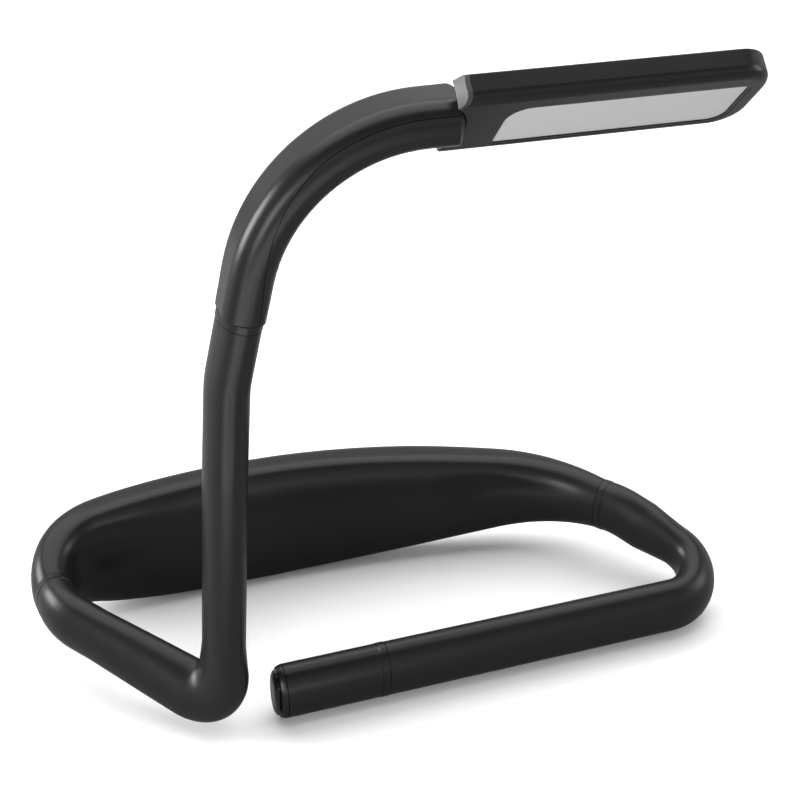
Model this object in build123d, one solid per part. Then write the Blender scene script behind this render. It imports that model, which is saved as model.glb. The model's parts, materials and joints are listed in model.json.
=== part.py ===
from build123d import *
import os
from math import acos, ceil, cos, degrees, pi, radians, sin, sqrt, tan

# A rechargeable reading light that is worn round the neck. A tall band holds the
# battery at the back of the neck. A gooseneck arm leaves each end of it. The left arm
# turns up at a corner and carries a rigid arch with the lamp head, the right arm folds
# back along the front and ends in a switch.
#
# Millimetres, +Z up. The origin is the middle of the band's resting face, +X runs along
# the band, to the switch arm's side, and +Y points to the back of the neck.

# Arms
ARM_WIDE = 17.0          # oval sleeve, across its wide way
ARM_THIN = 11.4          # oval sleeve, across its thin way
CORE_R = 3.0             # wound steel gooseneck, outside
CORE_BORE_R = 1.5
CABLE_R = 0.9            # two-wire cable inside the gooseneck
CORE_FIT = 0.05          # radial, gooseneck in its sleeve and in the rings
RING_LENGTH = 2.4        # hard ring where two materials meet
RING_PROUD = 0.12        # how far a ring stands out all round

# Neck band
LEFT_SEAM_X = -62.8      # the band's ends
RIGHT_SEAM_X = 105.6
BAND_SAG = 21.6          # from the crest of the band back to its ends
BAND_TALL = 39.9
BAND_THICK = 15.0
LEFT_TAPER = 2.57        # how quickly the band gets tall from its left end
RIGHT_TAPER = 1.15
CREST_SHARE = 0.39       # where along its length the band is tallest
THICKEN_LENGTH = 35.0    # from each end to the full thickness
CREST_X = 29.3
CREST_RISE = 2.7
CREST_R = 430.0
LEFT_BEND_R = 16.0
RIGHT_BEND_R = 44.0
LEFT_BEND_DROP = 3.6     # the left bend's corner lies this far in front of the crest
RIGHT_BEND_DROP = 6.3
LEFT_BULGE = 2.4         # and this far outside the band's end
RIGHT_BEND_IN = 12.4     # the right bend's corner lies this far inside the band's end
REST_FLAT = 0.4          # depth of the flats that the light lies on

# Housing in the band
CASE_LENGTH = 86.0
CASE_X = 13.0            # middle of the housing
CASE_TALL = 28.0
CASE_THICK = 10.6
CASE_CORNER = 4.5
CASE_WALL = 1.4
CASE_FIT = 0.1
BATTERY_THICK = 6.2
BATTERY_TALL = 21.0
BATTERY_GAP = 1.0        # from a gooseneck's end to the battery
BATTERY_TO_BOARD = 3.5
PAD_THICK = 0.8
BOARD_THICK = 1.2
CHARGE_BOARD = (22.0, 18.0)
PORT_WIDE = 8.94         # outside of the charging socket's metal shell
PORT_TALL = 3.26
PORT_SHELL = 0.3
PORT_TONGUE = (6.69, 0.7)
PORT_CLEAR = 0.9         # room for a plug's collar, all round
LENS_R = 1.1
LENS_FIT = 0.06
SCREW_R = 0.85
SCREW_HEAD_R = 1.6
SCREW_HEAD_TALL = 1.1
SCREW_SUNK = 0.15
SCREW_FIT = 0.1
SCREW_INTO_WALL = 0.7
BOSS_R = 2.1
BOSS_INTO_WALL = 0.4     # how far a boss or post runs into the wall it stands on
BOSS_FROM_EDGE = 4.0     # from the inside edge of the housing to a boss, up and down
CRIMP_R = 3.7
CRIMP_LENGTH = 6.0
CORE_IN_CASE = 8.5       # how far a gooseneck reaches into the housing

# Bending places: a round knuckle on the parent, a hollow and a notch on the child
KNUCKLE_OVER = 0.15      # the knuckle's radius over half the sleeve
KNUCKLE_GAP = 0.3
NOTCH_ANGLE = 50.0       # half angle of what the child keeps beside the knuckle
LEFT_SHOULDER_REACH = 13.0   # from the bend behind the ring to the shoulder's axis
RIGHT_SHOULDER_REACH = 9.0
ELBOW_HEIGHT = 29.0      # axis of the left elbow over the table
ELBOW_REACH = 14.0       # from the end of the right corner to the elbow's axis
ARCH_BEND_REACH = 9.6    # from the arch's ring down to the bend's axis

# Left arm: leaves the band, comes forward, turns up at a corner
LEFT_LEAD = 8.8          # from the band's end to the next bend
LEFT_LEAD_R = 16.0
LEFT_CORNER = Vector(-23.6, -68.0, 8.2)
LEFT_CORNER_R = 9.4
FOREARM_TWIST = 22.5     # the sleeve leans over by this before the corner
RISER_MID = Vector(-17.8, -60.9, 79.0)
RISER_MID_R = 150.0
RISER_TOP_R = 30.0
RISER_RUN = 17.0         # last straight run below the arch's ring
ARCH_START = Vector(-11.5, -57.4, 118.4)

# Right arm: leaves the band, turns back at a corner, lies along the front
RIGHT_LEAD = 6.5
RIGHT_LEAD_R = 25.0
RIGHT_CORNER = Vector(136.2, -60.6, 8.2)
RIGHT_CORNER_R = 13.0
ARM_TIP = Vector(-9.8, -66.4, 8.1)

# Switch end of the right arm
END_LENGTH = 32.6        # from the ring to the tip of the button
END_WALL = 1.5
END_ROUND = 3.6          # rounding of the tip, shared by housing, trim ring and button
TRIM_LENGTH = 1.8
TRIM_WALL = 2.2
TRIM_GROOVE = (0.25, 0.7)    # length and depth of the line between housing and trim ring
BUTTON_PROUD = 1.6
BUTTON_TRAVEL = 0.6
BUTTON_CLEAR = 0.1       # left between the pressed button and the trim ring
BUTTON_FIT = 0.15
BUTTON_SKIRT = 2.2
STEM_R = 1.5
SWITCH = (6.0, 6.0, 3.5)
SWITCH_BOARD_THICK = 1.0
END_CORE_IN = 9.0

# Arch
ARCH_ANGLE = 77.0        # its direction over the horizontal at the ring
ARCH_RUN = 12.5
ARCH_R = 44.5
ARCH_TIP_RUN = 9.6
ARCH_WIDE_AT_RING = 17.0
ARCH_WIDE_AT_TIP = 20.0
ARCH_THIN_AT_RING = 11.2
ARCH_THIN_AT_TIP = 11.6
ARCH_CORNER = 5.2
ARCH_WALL = 1.5
ARCH_CORE_IN = 9.0
COVER_DEPTH_AT_RING = 2.8    # the parting line lies this far inside the arch's middle
COVER_DEPTH_AT_TIP = -2.9    # and outside it here, so the cover gets deeper
COVER_TURN = 0.6         # share of the arch's length over which the line crosses
COVER_GAP = 0.15
ARCH_SCREWS = 3
POST_CLEAR = 1.6         # between a screw post and the arch's side wall

# Swivel between arch and head
DOME_R = 16.0
SWIVEL_GAP = 0.3
BOLT_R = 1.5
BOLT_BORE_R = 1.0
BOLT_FIT = 0.05
BOLT_FLANGE_R = 3.0
BOLT_FLANGE_TALL = 1.2
TIP_WALL = 2.6
WASHER_IN = 2.15         # from the arch's tip to the washer
WASHER_R = 2.1
WASHER_THICK = 0.6
NUT_R = 2.1
NUT_THICK = 1.4
NUT_ROOM = 0.3           # between washer or nut and the pocket they lie in

# Lamp head
HEAD_LENGTH = 76.2       # from the arch's tip
HEAD_WIDE = 27.9
HEAD_THICK = 7.1
HEAD_DROP = 0.4          # its middle lies this far from the swivel's axis, to the window
HEAD_ROLL = 45.0         # turn about its own length, from facing straight down
HEAD_CORNER = 9.0        # its two far corners
HEAD_EDGE_R = 2.6
HEAD_WALL = 1.3
TOP_THICK = 1.0
TOP_EDGE_R = 0.45
HEAD_FIT = 0.05
COLLAR_LENGTH = 4.4      # how far the collar's plug reaches into the head
COLLAR_BACK = 4.75       # the collar's cone begins this far behind the arch's tip
COLLAR_R = 11.2          # with this radius
COLLAR_SLOPE = 1.26      # and gains this much radius for each millimetre
COLLAR_CAP = 1.25        # length of the cone in front of the housing
WINDOW_START = 9.2       # from the arch's tip
WINDOW_LENGTH = 61.2
WINDOW_WIDE = 17.6
WINDOW_ASIDE = 1.4       # its middle lies this far off the head's
WINDOW_CORNERS = ((-1, -1, 5.9), (1, -1, 1.2), (-1, 1, 1.0), (1, 1, 4.1))
WINDOW_THICK = 0.8
WINDOW_SUNK = 0.5
WINDOW_LIP = 0.9         # the window's flange under the frame
LIP_THICK = 0.5
FRAME_WALL = 0.8
FRAME_FIT = 0.06
TRAY_TALL = 0.95
TRAY_WALL = 0.9
LED_COLUMNS = 8
LED_ROWS = 2
LED_SIZE = (3.0, 1.6, 0.7)
LED_BOARD_THICK = 0.8
BOARD_SLOT = (4.6, 2.4)  # in the board's near edge, for the cable
HEAD_SCREW_R = 0.6
HEAD_SCREW_HEAD_R = 1.1
HEAD_SCREW_HEAD_TALL = 0.5
HEAD_SCREW_IN = 4.6
HEAD_BOSS_R = 1.35
EAR_LENGTH = 2.9         # the collar's two ears, screwed between top and housing
EAR_WIDE = 4.2
EAR_MIDDLE = 9.0
EAR_FROM_AXIS = 0.2

BIG = 400.0
BAND_Z = BAND_TALL / 2 - REST_FLAT
X, Y, Z = Vector(1, 0, 0), Vector(0, 1, 0), Vector(0, 0, 1)

os.makedirs("parts", exist_ok=True)


def route(points, radii=()):
    """Straight runs joined by tangent arcs."""
    if len(points) == 2:
        return Wire([Edge.make_line(*points)])
    return FilletPolyline(*points, radius=list(radii)).wire()


def station(path, s, wide):
    """The plane square to the path at length s, its x axis as near wide as it can be."""
    at = path.position_at(s, position_mode=PositionMode.LENGTH)
    along = path.tangent_at(s, position_mode=PositionMode.LENGTH).normalized()
    across = (wide - along * wide.dot(along)).normalized()
    return Plane(origin=at, x_dir=across, z_dir=along)


def round_tube(path, radius, wide=Z):
    return sweep(station(path, 0, wide) * Circle(radius), path=path)


def oval_tube(path, wide=Z):
    return sweep(station(path, 0, wide) * Ellipse(ARM_WIDE / 2, ARM_THIN / 2), path=path)


def lengths(path, step, start=0.0):
    """Even stations, with every joint between runs and arcs among them."""
    marks, at = [start], 0.0
    for edge in path.edges():
        end = at + edge.length
        if end > start + 1e-6:
            first = max(at, start)
            count = max(1, ceil((end - first) / step))
            marks += [first + (end - first) * k / count for k in range(1, count + 1)]
        at = end
    marks[-1] -= 1e-6
    return marks


def toward(start, end, distance):
    return start + (end - start).normalized() * distance


def solid(shape):
    """One plain solid, or a group when the shape is really several."""
    found = shape.solids()
    return found[0] if len(found) == 1 else Compound(children=list(found))


def write(shape, name):
    export_step(solid(shape), f"parts/{name}.step")


class Knuckle:
    """A bending place: the parent ends in a round, the child in a hollow round it."""

    def __init__(self, at, along, axis, half):
        self.at = at
        self.along = along.normalized()
        self.axis = (axis - self.along * axis.dot(self.along)).normalized()
        self.half = half + KNUCKLE_OVER
        self.frame = Plane(origin=at, x_dir=self.along, z_dir=self.axis)

    def remove(self, shape, outline):
        tool = Pos(0, 0, -BIG / 4) * extrude(outline, BIG / 2)
        return shape - self.frame * tool

    def parent(self, shape):
        return self.remove(shape, Pos(BIG / 2, 0) * Rectangle(BIG, BIG) - Circle(self.half))

    def child(self, shape):
        reach = self.half / tan(radians(NOTCH_ANGLE)) + 1.0
        spread = 2 * self.half * tan(radians(NOTCH_ANGLE))
        corners = [(0, 0), (2 * self.half, spread), (2 * self.half, -spread)]
        kept = make_face(Polyline(*corners, close=True))
        before = Pos((reach - BIG) / 2, 0) * Rectangle(reach + BIG, BIG) - kept
        return self.remove(shape, before + Circle(self.half + KNUCKLE_GAP))


# Where the arms run
left_seam = Vector(LEFT_SEAM_X, -BAND_SAG, BAND_Z)
right_seam = Vector(RIGHT_SEAM_X, -BAND_SAG, BAND_Z)
left_bend = Vector(left_seam.X - LEFT_BULGE, -LEFT_BEND_DROP, BAND_Z)
crest = Vector(CREST_X, CREST_RISE, BAND_Z)
right_bend = Vector(right_seam.X - RIGHT_BEND_IN, -RIGHT_BEND_DROP, BAND_Z)
left_seam_way = (left_seam - left_bend).normalized()
right_seam_way = (right_seam - right_bend).normalized()
left_lead = left_seam + left_seam_way * LEFT_LEAD
right_lead = right_seam + right_seam_way * RIGHT_LEAD
band_path = route(
    [left_seam, left_bend, crest, right_bend, right_seam], [LEFT_BEND_R, CREST_R, RIGHT_BEND_R]
)

arch_way = Vector(cos(radians(ARCH_ANGLE)), 0, sin(radians(ARCH_ANGLE)))
riser_top = ARCH_START - arch_way * RISER_RUN
front_way = (ARM_TIP - RIGHT_CORNER).normalized()
end_start = ARM_TIP - front_way * END_LENGTH
right_turn = (RIGHT_CORNER - right_lead).get_angle(ARM_TIP - RIGHT_CORNER)
right_tangent = RIGHT_CORNER_R * tan(radians(right_turn / 2))

left_shoulder = Knuckle(
    toward(left_lead, LEFT_CORNER, LEFT_SHOULDER_REACH), LEFT_CORNER - left_lead, Z, ARM_THIN / 2
)
riser_way = (RISER_MID - LEFT_CORNER).normalized()
elbow_at = LEFT_CORNER + riser_way * ((ELBOW_HEIGHT - LEFT_CORNER.Z) / riser_way.Z)
left_elbow = Knuckle(elbow_at, riser_way, X, ARM_WIDE / 2)
arch_bend = Knuckle(ARCH_START - arch_way * ARCH_BEND_REACH, arch_way, -Y, ARM_THIN / 2)
right_shoulder = Knuckle(
    toward(right_lead, RIGHT_CORNER, RIGHT_SHOULDER_REACH), RIGHT_CORNER - right_lead, Z, ARM_THIN / 2
)
right_elbow = Knuckle(
    RIGHT_CORNER + front_way * (right_tangent + ELBOW_REACH), front_way, Z, ARM_THIN / 2
)
table = Pos(0, 0, -BIG / 2) * Box(BIG, BIG, BIG)

# Neck band: skin
case_y = -CREST_RISE / 8
case_x0 = CASE_X - CASE_LENGTH / 2
case_x1 = CASE_X + CASE_LENGTH / 2


def band_size(s):
    total = band_path.length
    top = CREST_SHARE * total
    if s < top:
        rise = 1 - (1 - s / top) ** LEFT_TAPER
    else:
        rise = sin(pi / 2 * (total - s) / (total - top)) ** RIGHT_TAPER
    swell = sin(pi / 2 * min(1.0, min(s, total - s) / THICKEN_LENGTH))
    tall = ARM_WIDE + (BAND_TALL - ARM_WIDE) * max(0.0, rise)
    thick = ARM_THIN + (BAND_THICK - ARM_THIN) * max(0.0, swell)
    return tall, thick


def band_section(s):
    tall, thick = band_size(s)
    return station(band_path, s, Z) * RectangleRounded(tall, thick, thick * 0.46)


def case_block(spare):
    """The housing's outside, grown all round by spare."""
    outline = RectangleRounded(CASE_THICK + 2 * spare, CASE_TALL + 2 * spare, CASE_CORNER + spare)
    start = Plane(origin=(case_x0 - spare, case_y, BAND_Z), x_dir=Y, z_dir=X)
    return extrude(start * outline, CASE_LENGTH + 2 * spare)


def block(x0, x1, y0, y1, z0, z1):
    """A box between two corners, in y and z from the housing's middle."""
    middle = Pos((x0 + x1) / 2, case_y + (y0 + y1) / 2, BAND_Z + (z0 + z1) / 2)
    return middle * Box(x1 - x0, y1 - y0, z1 - z0)


def rod(x, z, y0, y1, radius):
    """A round rod along Y, in the same places."""
    start = Plane(origin=(x, case_y + y0, BAND_Z + z), z_dir=Y)
    return extrude(start * Circle(radius), y1 - y0)


left_start = toward(left_bend, crest, case_x0 + CORE_IN_CASE - left_bend.X)
right_start = toward(right_bend, crest, right_bend.X - case_x1 + CORE_IN_CASE)
left_root_end = left_shoulder.at + left_shoulder.along * ARM_THIN
right_root_end = right_shoulder.at + right_shoulder.along * ARM_THIN
left_neck_path = route([left_start, left_bend, left_lead, left_root_end], [LEFT_BEND_R, LEFT_LEAD_R])
right_neck_path = route(
    [right_start, right_bend, right_lead, right_root_end], [RIGHT_BEND_R, RIGHT_LEAD_R]
)
left_core_bore = round_tube(left_neck_path, CORE_R + CORE_FIT)
right_core_bore = round_tube(right_neck_path, CORE_R + CORE_FIT)

inner_y = CASE_THICK / 2 - CASE_WALL
inner_z = CASE_TALL / 2 - CASE_WALL
front_y = -inner_y
board_y = front_y + BOARD_THICK
board_x1 = case_x1 - CORE_IN_CASE - 2.5
board_x0 = board_x1 - CHARGE_BOARD[0]
port_x = (board_x0 + board_x1) / 2
lens_x = port_x - PORT_WIDE / 2 - PORT_CLEAR - 3.0

skin = loft([band_section(s) for s in lengths(band_path, 9.0)])
skin -= case_block(CASE_FIT)
skin -= left_core_bore + right_core_bore
skin -= table
port_mouth = Plane(origin=(port_x, case_y, BAND_Z), x_dir=X, z_dir=Y) * RectangleRounded(
    PORT_WIDE + 2 * PORT_CLEAR, PORT_TALL + 2 * PORT_CLEAR, PORT_TALL / 2 + PORT_CLEAR - 0.05
)
skin -= extrude(port_mouth, BIG / 10)
skin -= rod(lens_x, 0, 0, BIG / 10, LENS_R + LENS_FIT)
write(skin, "neck_skin")


def crimp(at, along, radius=CRIMP_R):
    seat = Plane(origin=at, z_dir=along)
    return extrude(seat * Circle(radius), CRIMP_LENGTH)


# Neck band: the housing's two shells, screwed together at four bosses
crimp_ways = [
    (left_start, (left_bend - crest).normalized()),
    (right_start, (right_bend - crest).normalized()),
]
crimps = [crimp(at, along) - crimp(at, along, CORE_R) for at, along in crimp_ways]
hollow = extrude(
    Plane(origin=(case_x0 + CASE_WALL, case_y, BAND_Z), x_dir=Y, z_dir=X)
    * RectangleRounded(2 * inner_y, 2 * inner_z, CASE_CORNER - CASE_WALL),
    CASE_LENGTH - 2 * CASE_WALL,
)
boss_in = CASE_WALL + BOSS_R - BOSS_INTO_WALL
boss_z = inner_z - BOSS_FROM_EDGE
boss_places = [(x, z) for x in (case_x0 + boss_in, case_x1 - boss_in) for z in (-boss_z, boss_z)]
shell = case_block(0) - hollow
for x, z in boss_places:
    shell += rod(x, z, -inner_y, inner_y, BOSS_R) & case_block(-CASE_WALL / 2)
shell -= left_core_bore + right_core_bore
for at, along in crimp_ways:
    shell -= crimp(at, along, CRIMP_R + CORE_FIT)
port_hole = Plane(origin=(port_x, case_y, BAND_Z), x_dir=X, z_dir=Y) * RectangleRounded(
    PORT_WIDE + 2 * CASE_FIT, PORT_TALL + 2 * CASE_FIT, PORT_TALL / 2 + CASE_FIT - 0.05
)
shell -= extrude(port_hole, BIG / 10)
shell -= rod(lens_x, 0, 0, BIG / 10, LENS_R + LENS_FIT)
front_half = Pos(0, case_y - BIG / 2, 0) * Box(BIG, BIG, BIG)
front_shell = shell & front_half
back_shell = shell - front_half
screws = []
screw_top = -CASE_THICK / 2 + SCREW_SUNK
screw_seat = screw_top + SCREW_HEAD_TALL
screw_end = inner_y - 0.4
for x, z in boss_places:
    front_shell -= rod(x, z, -CASE_THICK, screw_seat, SCREW_HEAD_R + SCREW_FIT)
    front_shell -= rod(x, z, -CASE_THICK, 0, SCREW_R + SCREW_FIT)
    back_shell -= rod(x, z, -0.1, screw_end + 0.2, SCREW_R)
    head = rod(x, z, screw_top, screw_seat, SCREW_HEAD_R)
    recess = rod(x, z, screw_top, screw_top + 0.6, 0.6)
    screws.append(head - recess + rod(x, z, screw_seat, screw_end, SCREW_R))
write(front_shell, "neck_front_shell")
write(back_shell, "neck_back_shell")
write(Compound(children=[s.solid() for s in screws]), "neck_screws")

# Neck band: battery on its pad, charging board, socket and light
battery_x0 = case_x0 + CORE_IN_CASE + BATTERY_GAP
pad_y = front_y + PAD_THICK
battery_x1 = board_x0 - BATTERY_TO_BOARD
battery_z = BATTERY_TALL / 2
battery = block(battery_x0, battery_x1, pad_y, pad_y + BATTERY_THICK, -battery_z, battery_z)
battery = fillet(battery.edges().filter_by(Axis.X), 1.6)
write(battery, "battery_cell")
pad = block(battery_x0, battery_x1, front_y, pad_y, 2 - battery_z, battery_z - 2)
write(pad, "battery_foam_pad")
board = block(board_x0, board_x1, front_y, board_y, -CHARGE_BOARD[1] / 2, CHARGE_BOARD[1] / 2)
write(board, "charge_board")
port_outer = Plane(origin=(port_x, case_y + board_y, BAND_Z), x_dir=X, z_dir=Y) * RectangleRounded(
    PORT_WIDE, PORT_TALL, PORT_TALL / 2 - 0.05
)
port_inner = Plane(origin=(port_x, case_y + board_y + 1.0, BAND_Z), x_dir=X, z_dir=Y) * RectangleRounded(
    PORT_WIDE - 2 * PORT_SHELL, PORT_TALL - 2 * PORT_SHELL, PORT_TALL / 2 - PORT_SHELL - 0.05
)
port_length = CASE_THICK / 2 - board_y
socket = extrude(port_outer, port_length) - extrude(port_inner, port_length)
tongue_z = PORT_TONGUE[1] / 2
socket += block(
    port_x - PORT_TONGUE[0] / 2, port_x + PORT_TONGUE[0] / 2,
    board_y + 0.9, board_y + port_length - 1.0, -tongue_z, tongue_z,
)
write(socket, "usb_c_socket")
write(rod(lens_x, 0, board_y, CASE_THICK / 2 + 1.6, LENS_R), "charge_light_lens")

# Neck band: goosenecks, their crimps and cables, the hard rings at both ends


def arm_core(path, wide=Z):
    return round_tube(path, CORE_R, wide) - round_tube(path, CORE_BORE_R, wide)


def arm_cable(path, wide=Z):
    return round_tube(path, CABLE_R, wide)


def ring(at, along, wide=Z):
    """A hard oval ring square to the arm, with the gooseneck's hole."""
    seat = Plane(origin=at, x_dir=(wide - along * wide.dot(along)).normalized(), z_dir=along)
    outline = Ellipse(ARM_WIDE / 2 + RING_PROUD, ARM_THIN / 2 + RING_PROUD)
    band = extrude(seat * outline, RING_LENGTH)
    band = chamfer(band.edges(), 0.25)
    return band - extrude(seat * Circle(CORE_R + CORE_FIT), RING_LENGTH)


left_neck_core = left_shoulder.parent(arm_core(left_neck_path))
right_neck_core = right_shoulder.parent(arm_core(right_neck_path))
write(left_neck_core, "left_neck_core")
write(right_neck_core, "right_neck_core")
write(left_shoulder.parent(arm_cable(left_neck_path)), "left_neck_cable")
write(right_shoulder.parent(arm_cable(right_neck_path)), "right_neck_cable")
write(Compound(children=[c.solid() for c in crimps]), "neck_core_crimps")
rings = [ring(left_seam, left_seam_way), ring(right_seam, right_seam_way)]
write(Compound(children=[r.solid() for r in rings]), "neck_end_rings")
left_root_path = route(
    [left_seam + left_seam_way * RING_LENGTH, left_lead, left_root_end], [LEFT_LEAD_R]
)
right_root_path = route(
    [right_seam + right_seam_way * RING_LENGTH, right_lead, right_root_end], [RIGHT_LEAD_R]
)
write(left_shoulder.parent(oval_tube(left_root_path)) - left_core_bore, "left_root_sleeve")
write(right_shoulder.parent(oval_tube(right_root_path)) - right_core_bore, "right_root_sleeve")

# Left forearm: its sleeve leans over, then turns its wide way to the front at the corner
left_fore_path = route(
    [left_shoulder.at, LEFT_CORNER, left_elbow.at + left_elbow.along * ARM_WIDE], [LEFT_CORNER_R]
)
left_run, corner_run = [edge.length for edge in left_fore_path.edges()[0:2]]
heading = Vector(left_shoulder.along.X, left_shoulder.along.Y, 0).normalized()
aside = Z.cross(heading)
full_twist = degrees(acos(-heading.Y))
up_run = left_fore_path.length - left_run - corner_run - ARM_WIDE


def forearm_section(s):
    along = left_fore_path.tangent_at(s, position_mode=PositionMode.LENGTH).normalized()
    level = (aside.cross(along)) * -1
    if s < left_run:
        lean = FOREARM_TWIST * s / left_run
    else:
        risen = min(1.0, max(0.0, s - left_run - corner_run) / up_run)
        lean = FOREARM_TWIST + (full_twist - FOREARM_TWIST) * risen
    wide = level * cos(radians(lean)) + aside * sin(radians(lean))
    return station(left_fore_path, s, wide) * Ellipse(ARM_WIDE / 2, ARM_THIN / 2)


def forearm_stretch(start, end, count):
    return loft([forearm_section(start + (end - start) * k / count) for k in range(count + 1)])


corner_end = left_run + corner_run
left_fore = forearm_stretch(0, left_run, 4)
left_fore += sweep(forearm_section(left_run), path=left_fore_path.edges()[1])
left_fore += forearm_stretch(corner_end, corner_end + up_run, 4)
left_fore += forearm_stretch(corner_end + up_run, left_fore_path.length - 1e-6, 1)
left_fore = left_elbow.parent(left_shoulder.child(left_fore)) - table
write(left_fore - round_tube(left_fore_path, CORE_R + CORE_FIT), "left_forearm_sleeve")
write(left_elbow.parent(left_shoulder.child(arm_core(left_fore_path))), "left_forearm_core")
write(left_elbow.parent(left_shoulder.child(arm_cable(left_fore_path))), "left_forearm_cable")

# Left riser
riser_path = route(
    [left_elbow.at, RISER_MID, riser_top, arch_bend.at + arch_bend.along * ARM_THIN],
    [RISER_MID_R, RISER_TOP_R],
)
riser = arch_bend.parent(left_elbow.child(oval_tube(riser_path, Y)))
write(riser - round_tube(riser_path, CORE_R + CORE_FIT, Y), "left_riser_sleeve")
write(arch_bend.parent(left_elbow.child(arm_core(riser_path, Y))), "left_riser_core")
write(arch_bend.parent(left_elbow.child(arm_cable(riser_path, Y))), "left_riser_cable")

# Right upper arm and forearm
right_upper_path = route(
    [right_shoulder.at, RIGHT_CORNER, right_elbow.at + right_elbow.along * ARM_THIN], [RIGHT_CORNER_R]
)
right_run = right_upper_path.edges()[0].length
way_in = (RIGHT_CORNER - right_lead).normalized()
upright_out = (Z - front_way * Z.dot(front_way)).normalized()
lean_in = upright_out.rotate(Axis((0, 0, 0), way_in.cross(front_way)), -right_turn)


def upper_section(share):
    """Upright at the shoulder, leaning before the corner so that it leaves it upright."""
    lean = Z * (1 - share) + lean_in * share
    return station(right_upper_path, right_run * share, lean) * Ellipse(ARM_WIDE / 2, ARM_THIN / 2)


upper = loft([upper_section(k / 5) for k in range(6)])
upper += sweep(upper_section(1), path=right_upper_path.edges()[1])
upper += oval_tube(Wire([right_upper_path.edges()[2]]))
upper = right_elbow.parent(right_shoulder.child(upper)) - table
write(upper - round_tube(right_upper_path, CORE_R + CORE_FIT), "right_upper_sleeve")
write(right_elbow.parent(right_shoulder.child(arm_core(right_upper_path))), "right_upper_core")
write(right_elbow.parent(right_shoulder.child(arm_cable(right_upper_path))), "right_upper_cable")
right_fore_path = route([right_elbow.at, end_start])
right_core_path = route([right_elbow.at, end_start + front_way * END_CORE_IN])
fore = right_elbow.child(oval_tube(right_fore_path)) - table
write(fore - round_tube(right_fore_path, CORE_R + CORE_FIT), "right_forearm_sleeve")
write(right_elbow.child(arm_core(right_core_path)), "right_forearm_core")
write(right_elbow.child(arm_cable(right_core_path)), "right_forearm_cable")

# Switch end: in a frame whose z runs along the arm to its tip
end_frame = Plane(origin=end_start, x_dir=(Z - front_way * Z.dot(front_way)).normalized(), z_dir=front_way)


def oval_block(z0, z1, inset=0.0):
    outline = Ellipse(ARM_WIDE / 2 - inset, ARM_THIN / 2 - inset)
    return end_frame * Pos(0, 0, z0) * extrude(outline, z1 - z0)


def end_rod(z0, z1, radius):
    return end_frame * Pos(0, 0, z0) * extrude(Circle(radius), z1 - z0)


trim_z = END_LENGTH - BUTTON_PROUD - TRIM_LENGTH
flange_z = trim_z - BUTTON_FIT - BUTTON_SKIRT
switch_top = flange_z - BUTTON_TRAVEL - 1.0
switch_z = switch_top - SWITCH[2]
board_z = switch_z - SWITCH_BOARD_THICK
ledge = 0.8
core_end_z = END_CORE_IN + 1.0
cap_z = trim_z + TRIM_LENGTH + BUTTON_TRAVEL + BUTTON_CLEAR
end_form = oval_block(RING_LENGTH, END_LENGTH)
end_form = fillet(end_form.edges().sort_by(Axis(end_start, front_way))[-1], END_ROUND)
end_housing = end_form & oval_block(RING_LENGTH, trim_z, -1)
end_housing -= oval_block(core_end_z, board_z, END_WALL + ledge)
end_housing -= oval_block(board_z, trim_z, END_WALL)
end_housing -= end_rod(RING_LENGTH, core_end_z, CORE_R + CORE_FIT)
write(end_housing - table, "end_housing")
end_ring = ring(end_start, front_way) - table
write(end_ring, "right_arm_ring")
trim = end_form & oval_block(trim_z + TRIM_GROOVE[0], trim_z + TRIM_LENGTH, -1)
trim += oval_block(trim_z, trim_z + TRIM_GROOVE[0], TRIM_GROOVE[1])
trim -= oval_block(trim_z - 1, END_LENGTH, TRIM_WALL)
write(trim - table, "end_trim_ring")
switch_board = oval_block(board_z, switch_z, END_WALL + BUTTON_FIT)
write(switch_board, "switch_board")
switch = end_frame * Pos(0, 0, (switch_z + switch_top) / 2) * Box(*SWITCH)
write(switch, "tact_switch")
button = end_form & oval_block(cap_z, END_LENGTH + 1, -1)
button += oval_block(trim_z - BUTTON_FIT, cap_z, TRIM_WALL + BUTTON_FIT)
button += oval_block(flange_z, trim_z - BUTTON_FIT, END_WALL + BUTTON_FIT)
button += end_rod(switch_top + BUTTON_TRAVEL + 0.05, flange_z, STEM_R)
write(button, "end_button")

# Arch: a curved hollow form, parted along its inside into shell and cover
half_turn = tan(radians(ARCH_ANGLE / 2))
arch_corner = ARCH_START + arch_way * (ARCH_RUN + ARCH_R * half_turn)
arch_tip = arch_corner + X * (ARCH_R * half_turn + ARCH_TIP_RUN)
arch_path = route([ARCH_START + arch_way * RING_LENGTH, arch_corner, arch_tip], [ARCH_R])


def arch_size(s):
    share = s / arch_path.length
    wide = ARCH_WIDE_AT_RING + (ARCH_WIDE_AT_TIP - ARCH_WIDE_AT_RING) * share
    thin = ARCH_THIN_AT_RING + (ARCH_THIN_AT_TIP - ARCH_THIN_AT_RING) * share
    return wide, thin


def arch_form(spare, start, end):
    def section(s):
        wide, thin = arch_size(s)
        outline = RectangleRounded(wide + 2 * spare, thin + 2 * spare, ARCH_CORNER + spare)
        return station(arch_path, s, Y) * outline

    marks = [s for s in lengths(arch_path, 6.0) if start + 1 < s < end - 1]
    return loft([section(s) for s in [start] + marks + [end]])


def cover_depth(s):
    """How far inside the arch's middle the parting line runs at length s."""
    share = min(1.0, s / (COVER_TURN * arch_path.length))
    turn = share * share * (3 - 2 * share)
    return COVER_DEPTH_AT_RING + (COVER_DEPTH_AT_TIP - COVER_DEPTH_AT_RING) * turn


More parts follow.
